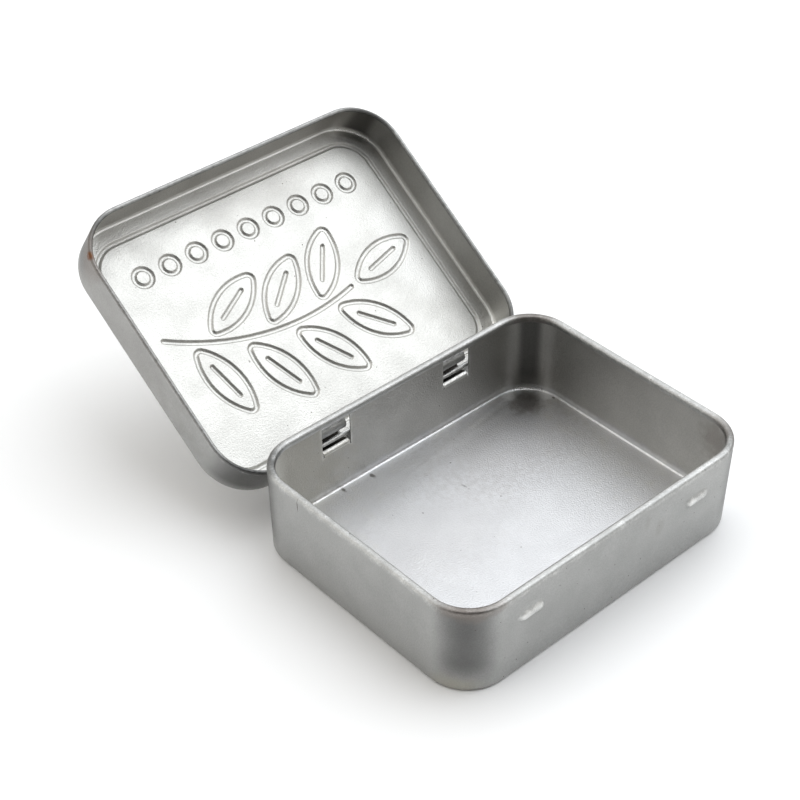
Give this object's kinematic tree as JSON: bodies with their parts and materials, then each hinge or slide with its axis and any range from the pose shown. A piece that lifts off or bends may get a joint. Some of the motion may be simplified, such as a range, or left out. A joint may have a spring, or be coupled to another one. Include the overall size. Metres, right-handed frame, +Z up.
{
  "type": "hinged mint tin",
  "caption": "Shallow rounded rectangular tinplate box with a hinged, embossed lid standing open on its rolled rims.",
  "frame": {"origin": "middle of the base's underside, where the tin rests", "axes": "+X along the hinge, +Y from the front wall to the hinged back wall, +Z up"},
  "size_m": [0.089, 0.132, 0.0537],
  "materials": {
    "tinplate_base": "satin tinplate with fine rolling grain",
    "tinplate_lid": "satin tinplate with fine rolling grain and embossed lines"
  },
  "bodies": {
    "base": {"base_shell": "tinplate_base"},
    "lid": {"lid_shell": "tinplate_lid"}
  },
  "joints": [
    {"name": "lid_hinge", "type": "hinge", "parent": "base", "child": "lid", "pos_m": [0, 0.03479, 0.01365], "axis": [1, 0, 0], "range_deg": [0, 145.4]}
  ]
}
